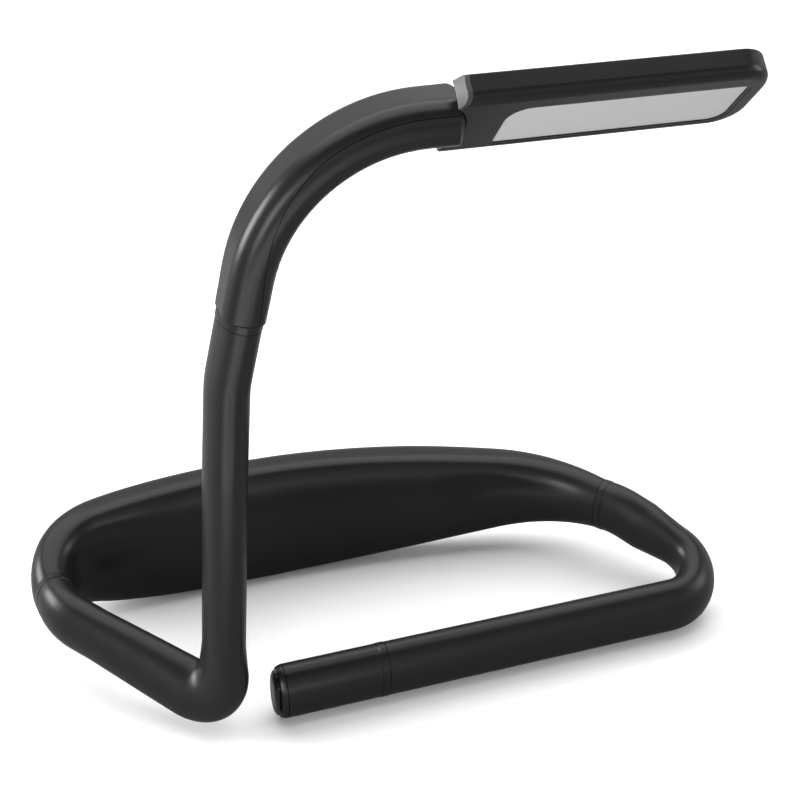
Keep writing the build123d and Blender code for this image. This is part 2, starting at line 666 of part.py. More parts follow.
def cover_side(gap):
    """Everything on the arch's inside, beyond the parting line and this gap."""
    points = []
    for s in lengths(arch_path, 6.0):
        seat = station(arch_path, s, Y)
        inward = Vector(seat.z_dir.Z, 0, -seat.z_dir.X)
        points.append(seat.origin + inward * (cover_depth(s) + gap))
    first = points[0] - arch_way * 8
    last = points[-1] + X * 8
    below = Vector(last.X, last.Y, first.Z - 5)
    edge = Spline(*points, tangents=[arch_way, X])
    rest = Polyline(points[-1], last, below, first, points[0])
    return extrude(make_face(edge.edges() + rest.edges()), BIG / 4, both=True)


arch_end_s = arch_path.length - 1e-6
arch = arch_form(0, 0, arch_end_s)
arch -= arch_form(-ARCH_WALL, 3.0, arch_end_s - TIP_WALL)
post_marks = [arch_path.length * (k + 0.6) / (ARCH_SCREWS + 0.2) for k in range(ARCH_SCREWS)]
arch_screws = []
arch_holes = []
for k, s in enumerate(post_marks):
    wide, thin = arch_size(s)
    across = (wide / 2 - ARCH_WALL - BOSS_R - POST_CLEAR) * (1 if k % 2 else -1)
    seat = station(arch_path, s, Y)
    inside = seat * Plane(origin=(across, -thin / 2, 0), z_dir=(0, 1, 0))
    post_in = ARCH_WALL - BOSS_INTO_WALL
    arch += inside * Pos(0, 0, post_in) * extrude(Circle(BOSS_R), thin - 2 * post_in)
    under = SCREW_SUNK + SCREW_HEAD_TALL
    shank = thin - ARCH_WALL + SCREW_INTO_WALL - under
    arch_holes.append((inside, under, shank, thin / 2 - cover_depth(s)))
    socket_ring = Circle(SCREW_HEAD_R) - Circle(0.6)
    head = inside * Pos(0, 0, SCREW_SUNK) * extrude(socket_ring, SCREW_HEAD_TALL - 0.5)
    head += inside * Pos(0, 0, under - 0.5) * extrude(Circle(SCREW_HEAD_R), 0.5)
    arch_screws.append(head + inside * Pos(0, 0, under) * extrude(Circle(SCREW_R), shank))
arch_core_path = route([arch_bend.at, ARCH_START + arch_way * ARCH_CORE_IN])
bolt_end = COLLAR_LENGTH + 0.8
arch_cable_path = route([arch_bend.at, arch_corner, arch_tip + X * (bolt_end - 0.4)], [ARCH_R])
dome = Pos(BIG / 2 - DOME_R, 0, 0) * Box(BIG, BIG, BIG) - Pos(-DOME_R, 0, 0) * Sphere(DOME_R)
dome = Pos(*arch_tip) * dome
bolt_frame = Plane(origin=arch_tip, z_dir=X)


def bolt_rod(x0, x1, radius):
    return bolt_frame * Pos(0, 0, x0) * extrude(Circle(radius), x1 - x0)


arch -= dome + round_tube(arch_core_path, CORE_R + CORE_FIT, Y) + bolt_rod(-TIP_WALL - 1, 5, BOLT_R)
outer_shell = arch - cover_side(0)
inner_cover = arch & cover_side(COVER_GAP)
for inside, under, shank, through in arch_holes:
    inner_cover -= inside * Pos(0, 0, -1) * extrude(Circle(SCREW_HEAD_R + SCREW_FIT), under + 1)
    inner_cover -= inside * extrude(Circle(SCREW_R + SCREW_FIT), through)
    outer_shell -= inside * Pos(0, 0, under) * extrude(Circle(SCREW_R), shank + 0.2)
write(outer_shell, "arch_outer_shell")
write(inner_cover, "arch_inner_cover")
write(Compound(children=[s.solid() for s in arch_screws]), "arch_screws")
write(arch_bend.child(arm_core(arch_core_path, Y)), "arch_core")
write(arch_bend.child(arm_cable(arch_cable_path, Y)), "arch_cable")
arch_root = oval_tube(route([arch_bend.at, ARCH_START]), Y)
write(arch_bend.child(arch_root) - round_tube(arch_core_path, CORE_R + CORE_FIT, Y), "arch_root_sleeve")
write(ring(ARCH_START, arch_way, Y), "arch_ring")
bolt = bolt_rod(-TIP_WALL - BOLT_FLANGE_TALL, -TIP_WALL, BOLT_FLANGE_R)
bolt += bolt_rod(-TIP_WALL, bolt_end, BOLT_R)
write(bolt - bolt_rod(-TIP_WALL - 5, bolt_end, BOLT_BORE_R), "swivel_bolt")
nut_x = WASHER_IN + WASHER_THICK
washer = bolt_rod(WASHER_IN, nut_x, WASHER_R) - bolt_rod(WASHER_IN, nut_x, BOLT_R)
write(washer, "swivel_spring_washer")
nut = bolt_frame * Pos(0, 0, nut_x) * extrude(RegularPolygon(NUT_R, 6) - Circle(BOLT_R), NUT_THICK)
write(nut, "swivel_nut")

# Lamp head: x along it from the arch's tip, y across, z away from the window
head_frame = Plane(origin=arch_tip, x_dir=X, z_dir=(0, sin(radians(HEAD_ROLL)), cos(radians(HEAD_ROLL))))
half_wide = HEAD_WIDE / 2
floor_z = -HEAD_THICK / 2 - HEAD_DROP
ceiling_z = floor_z + HEAD_THICK
top_z = ceiling_z - TOP_THICK
seat_z = floor_z + WINDOW_SUNK + WINDOW_THICK
near_x = -COLLAR_BACK - 2


def head_outline(start, inset=0.0):
    run = HEAD_LENGTH - inset - start
    plate = Pos(start + run / 2, 0) * Rectangle(run, HEAD_WIDE - 2 * inset)
    return fillet(plate.vertices().group_by(Axis.X)[-1], HEAD_CORNER - inset)


def head_plate(outline, z0, z1):
    return Pos(0, 0, z0) * extrude(outline, z1 - z0)


def head_block(x0, x1, y0, y1, z0, z1):
    return Pos((x0 + x1) / 2, (y0 + y1) / 2, (z0 + z1) / 2) * Box(x1 - x0, y1 - y0, z1 - z0)


def head_rod(x0, x1, radius):
    return Plane(origin=(x0, 0, 0), z_dir=X) * extrude(Circle(radius), x1 - x0)


def window_outline(grow):
    long, wide = WINDOW_LENGTH + 2 * grow, WINDOW_WIDE + 2 * grow
    middle = Vector(WINDOW_START + WINDOW_LENGTH / 2, WINDOW_ASIDE)
    shape = Pos(middle.X, middle.Y) * Rectangle(long, wide)
    for side_x, side_y, radius in WINDOW_CORNERS:
        corner = middle + Vector(side_x * long / 2, side_y * wide / 2)
        shape = fillet(shape.vertices().sort_by_distance(corner)[0], radius + grow)
    return shape


def inside_cone(shift):
    """The room inside the collar's cone, moved along the head by shift."""
    grown = COLLAR_R + COLLAR_SLOPE * BIG / 4
    cone = Cone(COLLAR_R, grown, BIG / 4, align=(Align.CENTER, Align.CENTER, Align.MIN))
    return Plane(origin=(shift - COLLAR_BACK, 0, 0), z_dir=X) * cone


hollow_ball = Pos(-DOME_R, 0, 0) * Sphere(DOME_R + SWIVEL_GAP)
lower = head_plate(head_outline(near_x), floor_z, top_z)
edges = lower.edges().group_by(Axis.Z)[0].filter_by(lambda e: e.center().X > near_x + 0.1)
lower = fillet(edges, HEAD_EDGE_R)
upper = head_plate(head_outline(near_x), top_z, ceiling_z)
edges = upper.edges().group_by(Axis.Z)[-1].filter_by(lambda e: e.center().X > near_x + 0.1)
upper = fillet(edges, TOP_EDGE_R)

# The collar caps the head's end with a cone and plugs into it
plug_y = half_wide - HEAD_WALL - HEAD_FIT
plug = head_block(near_x, COLLAR_LENGTH, -plug_y, plug_y, seat_z + HEAD_FIT, top_z - HEAD_FIT)
collar = (lower + upper) & head_block(near_x, COLLAR_LENGTH, -BIG, BIG, -BIG, BIG) & inside_cone(0)
collar -= inside_cone(COLLAR_CAP) - plug
collar -= hollow_ball
for side in (-1, 1):
    ear_y = [side * EAR_MIDDLE - EAR_WIDE / 2, side * EAR_MIDDLE + EAR_WIDE / 2]
    collar += head_block(
        COLLAR_LENGTH - 1, COLLAR_LENGTH + EAR_LENGTH, *ear_y, EAR_FROM_AXIS, top_z - HEAD_FIT
    )
pocket = WASHER_R + NUT_ROOM
collar -= head_rod(-5, 20, BOLT_R + BOLT_FIT)
collar -= head_block(WASHER_IN - BOLT_FIT, 20, -pocket, pocket, -pocket, BIG)

housing = lower - head_plate(head_outline(near_x - 1, HEAD_WALL), seat_z, top_z)
screw_x = COLLAR_LENGTH + HEAD_BOSS_R + 0.15
for side in (-1, 1):
    boss = Pos(screw_x, side * EAR_MIDDLE, seat_z) * extrude(Circle(HEAD_BOSS_R), EAR_FROM_AXIS - seat_z)
    housing += boss
housing -= head_plate(window_outline(FRAME_WALL + FRAME_FIT), floor_z - 1, seat_z)
housing = (housing & inside_cone(COLLAR_CAP + HEAD_FIT)) - hollow_ball
top = (upper & inside_cone(COLLAR_CAP + HEAD_FIT)) - hollow_ball

lip_z = seat_z + LIP_THICK
board_low = lip_z + TRAY_TALL
board_top = board_low + LED_BOARD_THICK
lip = FRAME_WALL + FRAME_FIT + WINDOW_LIP
window = head_plate(window_outline(0), floor_z + WINDOW_SUNK, seat_z)
window += head_plate(window_outline(lip), seat_z, lip_z)
frame = head_plate(window_outline(FRAME_WALL), floor_z + 0.1, seat_z)
frame -= head_plate(window_outline(FRAME_FIT), floor_z, seat_z)
tray = head_plate(window_outline(lip), lip_z, board_low)
tray -= head_plate(window_outline(lip - TRAY_WALL), lip_z, board_low)
slot_x = WINDOW_START - lip + BOARD_SLOT[0]
slot_y = BOARD_SLOT[1] / 2
led_board = head_plate(window_outline(lip), board_low, board_top)
led_board -= head_block(0, slot_x, -slot_y, slot_y, -BIG, BIG)
leds = []
for column in range(LED_COLUMNS):
    for row in range(LED_ROWS):
        x = WINDOW_START + WINDOW_LENGTH * (column + 0.5) / LED_COLUMNS
        y = WINDOW_ASIDE + WINDOW_WIDE * ((row + 0.5) / LED_ROWS - 0.5)
        leds.append(Pos(x, y, board_low - LED_SIZE[2] / 2) * Box(*LED_SIZE))

rib_x = COLLAR_LENGTH + EAR_LENGTH + 2
rib = head_outline(rib_x + 1, HEAD_WALL + FRAME_FIT) - head_outline(rib_x, HEAD_WALL + FRAME_FIT + 0.9)
top += head_plate(rib, top_z - 1.0, top_z)
head_screws = []
for side in (-1, 1):
    down = Pos(screw_x, side * EAR_MIDDLE, ceiling_z - 0.1) * Rot(180, 0, 0)
    head_hole = extrude(Circle(HEAD_SCREW_HEAD_R + SCREW_FIT), 1 + HEAD_SCREW_HEAD_TALL)
    shank_hole = extrude(Circle(HEAD_SCREW_R + SCREW_FIT), 5)
    top -= down * Pos(0, 0, -1) * head_hole
    top -= down * shank_hole
    collar -= down * shank_hole
    housing -= down * extrude(Circle(HEAD_SCREW_R), HEAD_SCREW_IN + 0.2)
    half_tall = HEAD_SCREW_HEAD_TALL / 2
    screw = down * extrude(Circle(HEAD_SCREW_HEAD_R) - Circle(0.45), half_tall)
    screw += down * Pos(0, 0, half_tall) * extrude(Circle(HEAD_SCREW_HEAD_R), half_tall)
    shank = extrude(Circle(HEAD_SCREW_R), HEAD_SCREW_IN - HEAD_SCREW_HEAD_TALL)
    head_screws.append(screw + down * Pos(0, 0, HEAD_SCREW_HEAD_TALL) * shank)
head_cable = head_rod(bolt_end + 0.2, slot_x - 0.2, CABLE_R)
for shape, name in (
    (collar, "head_collar"), (housing, "head_housing"), (top, "head_top_cover"), (frame, "window_frame"),
    (window, "window_diffuser"), (tray, "light_tray"), (led_board, "led_board"), (head_cable, "head_cable"),
):
    write(head_frame * shape, name)
write(Compound(children=[head_frame * led for led in leds]), "leds")
write(Compound(children=[(head_frame * s).solid() for s in head_screws]), "head_screws")


for name, knuckle in (
    ("left_shoulder", left_shoulder), ("left_elbow", left_elbow), ("arch_bend", arch_bend),
    ("right_shoulder", right_shoulder), ("right_elbow", right_elbow),
):
    print(name, [round(v, 3) for v in knuckle.at], [round(v, 5) for v in knuckle.axis])
print("head_swivel", [round(v, 3) for v in arch_tip])
print("button", [round(v, 3) for v in end_start], [round(v, 5) for v in front_way * -1])
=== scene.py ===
from math import acos, cos, degrees, exp, pi, radians, sin, tan

import bmesh
import bpy
from mathutils import Matrix, Vector
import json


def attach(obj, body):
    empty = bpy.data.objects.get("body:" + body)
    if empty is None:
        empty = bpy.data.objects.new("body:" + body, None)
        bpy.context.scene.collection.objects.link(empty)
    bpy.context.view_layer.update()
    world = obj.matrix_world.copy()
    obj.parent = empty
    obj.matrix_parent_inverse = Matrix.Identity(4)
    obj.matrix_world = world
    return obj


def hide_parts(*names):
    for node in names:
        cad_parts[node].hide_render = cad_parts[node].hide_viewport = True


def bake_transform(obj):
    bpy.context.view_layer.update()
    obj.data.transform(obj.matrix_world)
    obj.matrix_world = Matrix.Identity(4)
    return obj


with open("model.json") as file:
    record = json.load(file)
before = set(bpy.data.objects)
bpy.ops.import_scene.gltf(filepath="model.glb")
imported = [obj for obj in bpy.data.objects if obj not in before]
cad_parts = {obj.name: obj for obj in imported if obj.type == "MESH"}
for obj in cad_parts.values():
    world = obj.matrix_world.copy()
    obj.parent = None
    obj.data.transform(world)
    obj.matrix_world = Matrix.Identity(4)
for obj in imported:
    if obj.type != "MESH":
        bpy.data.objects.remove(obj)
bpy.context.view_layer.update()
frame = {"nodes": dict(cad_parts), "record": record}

# A reading light worn round the neck, as it stands on a table. The solids of the frame
# keep their places. Five sleeve skins and one band skin take over the silicone pieces:
# each sleeve skin runs unbroken across the bends that the solids part at.
MM = 0.001
UP = Vector((0, 0, 1))
BACK = Vector((0, 1, 0))

# The sizes that the silicone skins share with the solids, in millimetres

# Sleeves
ARM_WIDE = 17.0
ARM_THIN = 11.4
RING_LENGTH = 2.4            # hard ring where two materials meet

# Neck band
BAND_TALL = 39.9
BAND_THICK = 15.0
LEFT_TAPER = 2.57            # how quickly the band gets tall from its left end
RIGHT_TAPER = 1.15
CREST_SHARE = 0.39           # where along its length the band is tallest
THICKEN_LENGTH = 35.0        # from each end to the full thickness
REST_FLAT = 0.4              # depth of the flats that the light lies on
BAND_Z = BAND_TALL / 2 - REST_FLAT
LEFT_SEAM = Vector((-62.8, -21.6, BAND_Z))
LEFT_BEND = Vector((-65.2, -3.6, BAND_Z))
LEFT_BEND_R = 16.0
CREST = Vector((29.3, 2.7, BAND_Z))
CREST_R = 430.0
RIGHT_BEND = Vector((93.2, -6.3, BAND_Z))
RIGHT_BEND_R = 44.0
RIGHT_SEAM = Vector((105.6, -21.6, BAND_Z))

# Housing in the band, and its openings in the skin
CASE_X = 13.0                # middle of the housing
CASE_LENGTH = 86.0
PORT_X = 34.0
PORT_MOUTH = (10.74, 5.06)
LENS_X = 25.63
LENS_HOLE_R = 1.16

# Left arm
LEFT_LEAD = 8.8              # from the band's end to the next bend
LEFT_LEAD_R = 16.0
LEFT_CORNER = Vector((-23.6, -68.0, 8.2))
LEFT_CORNER_R = 9.4
FOREARM_TWIST = 22.5         # the sleeve leans over by this before the corner
RISER_MID = Vector((-17.8, -60.9, 79.0))
RISER_MID_R = 150.0
RISER_TOP_R = 30.0
RISER_RUN = 17.0             # last straight run below the arch's ring
ARCH_START = Vector((-11.5, -57.4, 118.4))
ARCH_ANGLE = 77.0            # its direction over the horizontal at the ring
ARCH_WAY = Vector((cos(radians(ARCH_ANGLE)), 0, sin(radians(ARCH_ANGLE))))

# Right arm
RIGHT_LEAD = 6.5
RIGHT_LEAD_R = 25.0
RIGHT_CORNER = Vector((136.2, -60.6, 8.2))
RIGHT_CORNER_R = 13.0
ARM_TIP = Vector((-9.8, -66.4, 8.1))
END_LENGTH = 32.6            # switch end, from the ring to the tip of the button

# What only the skins have
AROUND_ARM = 56              # points round a sleeve
AROUND_BAND = 96
AROUND_HOLE = 32
ARM_STEP = 1.2               # from ring to ring
CORNER_STEP = 1.0            # and where the sleeve turns sharply
BAND_STEP = 1.5
NEAREST_STEPS = 2000
OVAL = 2.0                   # power of a plain oval
BAND_SQUARER = 1.6           # added to the power where the band is tall
SQUARE_GAIN = 1.4
VALLEY = 2.4                 # depth of the valley beside the housing
VALLEY_HEIGHT = 0.38         # over the band's middle, as a share of half its height
VALLEY_SPREAD = 0.3
VALLEY_RUN_IN = 16.0         # from the housing's end to the full depth
CUT_Y = (1.0, 20.0)          # a cutter's reach through the back of the band
# How far before and after its joint the stretch round each joint reaches; it is worked out, but
# no skin is bent over it
BEND_REACH = {
    "left_shoulder": (10, 10),
    "left_elbow": (12, 18),
    "arch_bend": (12, 7),
    "right_shoulder": (9, 9),
    "right_elbow": (8, 12),
}
# From halfway between two bends to the border of two skins
LEFT_BORDER_SHIFT = 2
RIGHT_BORDER_SHIFT = -3


class Route:
    """Straight runs joined by tangent arcs, as a function of the distance along them."""

    def __init__(self, points, radii):
        self.parts = []
        at = points[0]
        for here, after, before, radius in zip(points[1:], points[2:], points, radii):
            way_in = (here - before).normalized()
            way_out = (after - here).normalized()
            turn = way_in.angle(way_out)
            reach = radius * tan(turn / 2)
            start = here - way_in * reach
            self.parts.append(("line", (start - at).length, at, way_in, None, None))
            side = (way_out - way_in * way_in.dot(way_out)).normalized()
            self.parts.append(("arc", radius * turn, start, way_in, side, radius))
            at = here + way_out * reach
        way = (points[-1] - at).normalized()
        self.parts.append(("line", (points[-1] - at).length, at, way, None, None))
        self.length = sum(part[1] for part in self.parts)

    def at(self, distance):
        """The place and the direction at a distance along the route."""
        for kind, length, start, way, side, radius in self.parts:
            if distance <= length or (kind, length, start) == self.parts[-1][:3]:
                if kind == "line":
                    return start + way * distance, way
                turn = distance / radius
                place = start + way * (radius * sin(turn)) + side * (radius * (1 - cos(turn)))
                return place, way * cos(turn) + side * sin(turn)
            distance -= length

    def nearest(self, point):
        """The distance along the route at which it passes closest to a point."""
        marks = [self.length * k / NEAREST_STEPS for k in range(NEAREST_STEPS + 1)]
        return min(marks, key=lambda s: (self.at(s)[0] - point).length)

    def arc_span(self, number):
        """Where the numbered arc starts and ends."""
        start = sum(part[1] for part in self.parts[:2 * number + 1])
        return start, start + self.parts[2 * number + 1][1]


# Forms
def signed_power(value, power):
    return (abs(value) ** power) * (1 if value >= 0 else -1)


def rounded(angle, half_wide, half_thin, power):
    """A point of an oval that gets squarer as the power grows."""
    exponent = 2.0 / power
    across = half_wide * signed_power(cos(angle), exponent)
    return across, half_thin * signed_power(sin(angle), exponent)


def obround(wide, tall):
    """A slot's outline with round ends, or a circle where both sizes are the same."""
    points = []
    for k in range(AROUND_HOLE):
        angle = 2 * pi * (k + 0.5) / AROUND_HOLE
        side = 1 if cos(angle) > 0 else -1
        points.append((side * (wide - tall) / 2 + tall / 2 * cos(angle), tall / 2 * sin(angle)))
    return points


def stations(start, end, step):
    count = max(2, round((end - start) / step))
    return [start + (end - start) * k / count for k in range(count + 1)]


def on_table(point):
    """The light rests on flats, so nothing reaches below the table."""
    return Vector((point.x, point.y, max(point.z, 0.0))) * MM


def new_object(name, mesh_maker):
    mesh = bpy.data.meshes.new(name)
    bm = bmesh.new()
    mesh_maker(bm)
    bmesh.ops.recalc_face_normals(bm, faces=bm.faces)
    bm.to_mesh(mesh)
    bm.free()
    obj = bpy.data.objects.new(name, mesh)
    bpy.context.scene.collection.objects.link(obj)
    return obj


def skin(name, rings):
    """A closed skin through rings of points (metres), with flat ends that keep a crisp rim."""

    def make(bm):
        loops = [[bm.verts.new(p) for p in ring] for ring in rings]
        count = len(loops[0])
        for one, two in zip(loops, loops[1:]):
            for k in range(count):
                face = bm.faces.new((one[k], one[(k + 1) % count], two[(k + 1) % count], two[k]))
                face.smooth = True
        for loop in (loops[0], loops[-1]):
            middle = bm.verts.new(sum((v.co for v in loop), Vector()) / count)
            for k in range(count):
                face = bm.faces.new((loop[k], loop[(k + 1) % count], middle))
                face.smooth = False
            for k in range(count):
                bm.edges.get((loop[k], loop[(k + 1) % count])).smooth = False

    return new_object(name, make)


def rod_along_y(name, x, outline, y0, y1):
    """A cutter at the band's height: an outline of points (x, z) that runs from y0 to y1."""

    def make(bm):
        ends = []
        for y in (y0, y1):
            ends.append([bm.verts.new(Vector((x + a, y, BAND_Z + b)) * MM) for a, b in outline])
        count = len(outline)
        bm.faces.new(ends[0])
        bm.faces.new(ends[1][::-1])
        for k in range(count):
            after = (k + 1) % count
            bm.faces.new((ends[0][k], ends[1][k], ends[1][after], ends[0][after]))

    return new_object(name, make)


def carve(obj, cutter):
    """Take the cutter's room out of the object and throw the cutter away."""
    cut = obj.modifiers.new("cut", "BOOLEAN")
    cut.operation = "DIFFERENCE"
    cut.solver = "EXACT"
    cut.object = cutter
    bpy.context.view_layer.update()
    carved = obj.evaluated_get(bpy.context.evaluated_depsgraph_get())
    mesh = bpy.data.meshes.new_from_object(carved)
    obj.modifiers.clear()
    obj.data = mesh
    bpy.data.objects.remove(cutter)


# Arms: one route for each, from the band's end to the rigid end piece
left_lead = LEFT_SEAM + (LEFT_SEAM - LEFT_BEND).normalized() * LEFT_LEAD
right_lead = RIGHT_SEAM + (RIGHT_SEAM - RIGHT_BEND).normalized() * RIGHT_LEAD
front_way = (ARM_TIP - RIGHT_CORNER).normalized()
end_start = ARM_TIP - front_way * END_LENGTH
riser_end = ARCH_START - ARCH_WAY * RISER_RUN
left_route = Route(
    [LEFT_SEAM, left_lead, LEFT_CORNER, RISER_MID, riser_end, ARCH_START],
    [LEFT_LEAD_R, LEFT_CORNER_R, RISER_MID_R, RISER_TOP_R],
)
right_route = Route(
    [RIGHT_SEAM, right_lead, RIGHT_CORNER, end_start],
    [RIGHT_LEAD_R, RIGHT_CORNER_R],
)

# How far along its route each joint lies
joint_place = {}
for joint in frame["record"]["behaviour"]["joints"]:
    joint_place[joint["name"]] = Vector(joint["pos_m"]) / MM
left_shoulder_s = left_route.nearest(joint_place["left_shoulder"])
left_elbow_s = left_route.nearest(joint_place["left_elbow"])
arch_bend_s = left_route.nearest(joint_place["arch_bend"])
right_shoulder_s = right_route.nearest(joint_place["right_shoulder"])
right_elbow_s = right_route.nearest(joint_place["right_elbow"])

# The left sleeve leans on its way to the corner, and turns the rest of the way above it
heading = (LEFT_CORNER - left_lead).normalized()
heading = Vector((heading.x, heading.y, 0)).normalized()
aside = UP.cross(heading)
full_twist = degrees(acos(-heading.y))
left_corner_start, left_corner_end = left_route.arc_span(1)


def left_wide(s, way):
    """The wide way of the left sleeve: upright at first, across the arm at the riser."""
    level = aside.cross(way) * -1
    if s < left_shoulder_s:
        return UP
    if s > left_elbow_s:
        return BACK
    if s < left_corner_start:
        lean = FOREARM_TWIST * (s - left_shoulder_s) / (left_corner_start - left_shoulder_s)
    else:
        risen = max(0.0, s - left_corner_end) / (left_elbow_s - left_corner_end)
        lean = FOREARM_TWIST + (full_twist - FOREARM_TWIST) * risen
    return level * cos(radians(lean)) + aside * sin(radians(lean))


# The right sleeve leans before its corner, so that it leaves the corner upright
right_corner_start, right_corner_end = right_route.arc_span(1)
way_in = (RIGHT_CORNER - right_lead).normalized()
upright_out = (UP - front_way * UP.dot(front_way)).normalized()
turn_axis = way_in.cross(front_way).normalized()
right_turn = way_in.angle(front_way)


def right_wide(s, way):
    """The wide way of the right sleeve."""
    if s < right_shoulder_s or s > right_corner_end:
        return UP
    corner_length = right_corner_end - right_corner_start
    turned = right_turn * max(0.0, s - right_corner_start) / corner_length
    lean = Matrix.Rotation(turned - right_turn, 3, turn_axis) @ upright_out
    share = min(1.0, (s - right_shoulder_s) / (right_corner_start - right_shoulder_s))
    return UP * (1 - share) + lean * share


def arm_ring(route, s, wide_of):
    place, way = route.at(s)
    wide = wide_of(s, way)
    wide = (wide - way * wide.dot(way)).normalized()
    thin = way.cross(wide)
    ring = []
    for k in range(AROUND_ARM):
        a, b = rounded(2 * pi * k / AROUND_ARM, ARM_WIDE / 2, ARM_THIN / 2, OVAL)
        ring.append(on_table(place + wide * a + thin * b))
    return ring


def sleeve(name, route, start, end, wide_of, step=ARM_STEP):
    return skin(name, [arm_ring(route, s, wide_of) for s in stations(start, end, step)])


left_border_1 = (left_shoulder_s + left_corner_start) / 2 + LEFT_BORDER_SHIFT
left_border_2 = (left_elbow_s + arch_bend_s) / 2
right_border = (right_corner_end + right_elbow_s) / 2 + RIGHT_BORDER_SHIFT
left_root = sleeve("left_root_skin", left_route, RING_LENGTH, left_border_1, left_wide)
left_corner = sleeve(
    "left_corner_skin", left_route, left_border_1, left_border_2, left_wide, CORNER_STEP
)
left_top = sleeve("left_top_skin", left_route, left_border_2, left_route.length, left_wide)
right_corner = sleeve(
    "right_corner_skin", right_route, RING_LENGTH, right_border, right_wide, CORNER_STEP
)
right_front = sleeve(
    "right_front_skin", right_route, right_border, right_route.length, right_wide
)


def bend_about(piece, route, joint_name, joint_s):
    """Works out the stretch round the joint, which nothing uses, and bakes the piece's place into
    its mesh.
    """
    before, after = BEND_REACH[joint_name]
    start = route.at(joint_s - before)[0] * MM
    end = route.at(joint_s + after)[0] * MM
    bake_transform(piece)


bend_about(left_root, left_route, "left_shoulder", left_shoulder_s)
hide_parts("left_root_sleeve")
bend_about(left_corner, left_route, "left_elbow", left_elbow_s)
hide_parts("left_forearm_sleeve")
bend_about(left_top, left_route, "arch_bend", arch_bend_s)
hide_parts("left_riser_sleeve", "arch_root_sleeve")
bend_about(right_corner, right_route, "right_shoulder", right_shoulder_s)
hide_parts("right_root_sleeve")
bend_about(right_front, right_route, "right_elbow", right_elbow_s)
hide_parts("right_upper_sleeve", "right_forearm_sleeve")

# Neck band
band_route = Route(
    [LEFT_SEAM, LEFT_BEND, CREST, RIGHT_BEND, RIGHT_SEAM],
    [LEFT_BEND_R, CREST_R, RIGHT_BEND_R],
)


def band_size(s):
    """The band's height and thickness, and how far it has risen, from 0 to 1."""
    total = band_route.length
    top = CREST_SHARE * total
    if s < top:
        rise = 1 - (1 - s / top) ** LEFT_TAPER
    else:
        rise = sin(pi / 2 * (total - s) / (total - top)) ** RIGHT_TAPER
    rise = max(0.0, rise)
    swell = max(0.0, sin(pi / 2 * min(1.0, min(s, total - s) / THICKEN_LENGTH)))
    tall = ARM_WIDE + (BAND_TALL - ARM_WIDE) * rise
    return tall, ARM_THIN + (BAND_THICK - ARM_THIN) * swell, rise


def band_ring(s):
    place, way = band_route.at(s)
    wide = (UP - way * UP.dot(way)).normalized()
    thin = way.cross(wide)
    tall, thick, rise = band_size(s)
    power = OVAL + BAND_SQUARER * min(1.0, rise * SQUARE_GAIN)
    past_case = max(0.0, abs(place.x - CASE_X) - CASE_LENGTH / 2)
    deep = VALLEY * rise * min(1.0, past_case / VALLEY_RUN_IN)
    ring = []
    for k in range(AROUND_BAND):
        a, b = rounded(2 * pi * k / AROUND_BAND, tall / 2, thick / 2, power)
        # Beside the housing, a shallow valley above a soft ridge, on the side that faces the neck
        if b > 0:
            near = exp(-((2 * a / tall - VALLEY_HEIGHT) / VALLEY_SPREAD) ** 2)
            b -= deep * near * min(1.0, 2 * b / thick)
        ring.append(on_table(place + wide * a + thin * b))
    return ring


band = skin("neck_band_skin", [band_ring(s) for s in stations(0, band_route.length, BAND_STEP)])
carve(band, rod_along_y("port_cutter", PORT_X, obround(*PORT_MOUTH), *CUT_Y))
lens_outline = obround(2 * LENS_HOLE_R, 2 * LENS_HOLE_R)
carve(band, rod_along_y("lens_cutter", LENS_X, lens_outline, *CUT_Y))
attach(band, "neck")
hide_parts("neck_skin")

# Materials
# Sockets of a Mix node that mixes colours
MIX_A = 6
MIX_B = 7
MIX_RESULT = 2


def shader(material, kind, **inputs):
    """A new node, its sockets set by name with _ for a space."""
    node = material.node_tree.nodes.new(kind)
    for key, value in inputs.items():
        node.inputs[key.replace("_", " ")].default_value = value
    return node


def finish_of(
    name, colour, roughness, spread=0.1, rough_spread=0.05, grain=600.0, bump=0.04, metal=0.0,
    **more,
):
    """A finish whose colour and gloss vary finely, with a faint grain."""
    material = bpy.data.materials.new(name)
    material.use_nodes = True
    tree = material.node_tree
    surface = tree.nodes["Principled BSDF"]
    surface.inputs["Metallic"].default_value = metal
    for key, value in more.items():
        surface.inputs[key.replace("_", " ")].default_value = value

    place = tree.nodes.new("ShaderNodeTexCoord")
    cloud = shader(material, "ShaderNodeTexNoise", Scale=90.0, Detail=4.0, Roughness=0.6)
    tree.links.new(place.outputs["Object"], cloud.inputs["Vector"])

    tint = tree.nodes.new("ShaderNodeMix")
    tint.data_type = "RGBA"
    low = [c * (1 - spread) for c in colour]
    high = [min(1.0, c * (1 + spread)) for c in colour]
    tint.inputs[MIX_A].default_value = (*low, 1)
    tint.inputs[MIX_B].default_value = (*high, 1)
    tree.links.new(cloud.outputs["Fac"], tint.inputs["Factor"])
    tree.links.new(tint.outputs[MIX_RESULT], surface.inputs["Base Color"])

    gloss = shader(material, "ShaderNodeMapRange")
    gloss.inputs["To Min"].default_value = roughness - rough_spread
    gloss.inputs["To Max"].default_value = roughness + rough_spread
    tree.links.new(cloud.outputs["Fac"], gloss.inputs["Value"])
    tree.links.new(gloss.outputs["Result"], surface.inputs["Roughness"])

    fine = shader(material, "ShaderNodeTexNoise", Scale=grain, Detail=3.0, Roughness=0.55)
    tree.links.new(place.outputs["Object"], fine.inputs["Vector"])
    relief = shader(material, "ShaderNodeBump", Strength=bump, Distance=0.0002)
    tree.links.new(fine.outputs["Fac"], relief.inputs["Height"])
    tree.links.new(relief.outputs["Normal"], surface.inputs["Normal"])
    return material


